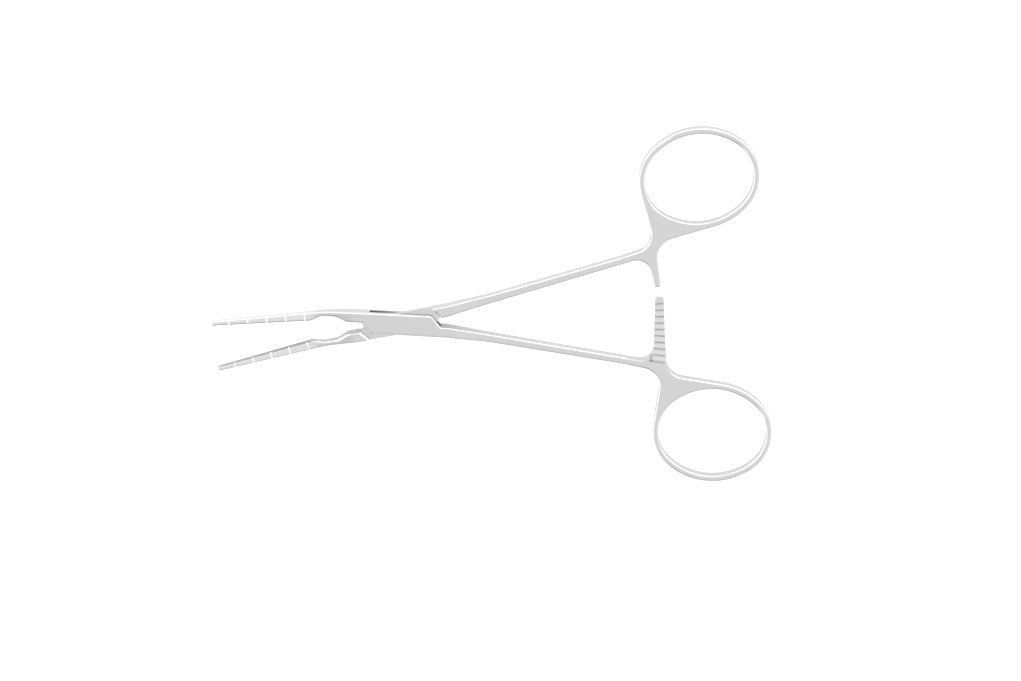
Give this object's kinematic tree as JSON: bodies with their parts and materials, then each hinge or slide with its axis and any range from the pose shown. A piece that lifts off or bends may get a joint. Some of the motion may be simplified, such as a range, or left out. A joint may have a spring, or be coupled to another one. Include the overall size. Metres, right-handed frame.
{
  "type": "catheter clamp",
  "caption": "Ring-handled box-lock clamp with slim graduated straight jaws and a ratchet, for pinching a catheter or drain tube shut.",
  "frame": {"origin": "on the pivot axis, at the back face of the box, on which the clamp lies", "axes": "+X along the centreline of the closed clamp towards the finger rings, +Y from the box half's shank towards the inner half's, +Z out of the front face"},
  "size_m": [0.1493, 0.0958, 0.0045],
  "materials": {
    "box_half": "fine satin",
    "inner_half": "fine satin",
    "pivot_pin": "fine satin, ground flush with the box"
  },
  "bodies": {
    "box_half": {"box_half": "box_half", "pivot_pin": "pivot_pin"},
    "inner_half": {"inner_half": "inner_half"}
  },
  "joints": [
    {"name": "box_lock", "type": "hinge", "parent": "box_half", "child": "inner_half", "pos_m": [0, 0, 0], "axis": [0, 0, 1], "range_deg": [-12.8, 60]}
  ]
}
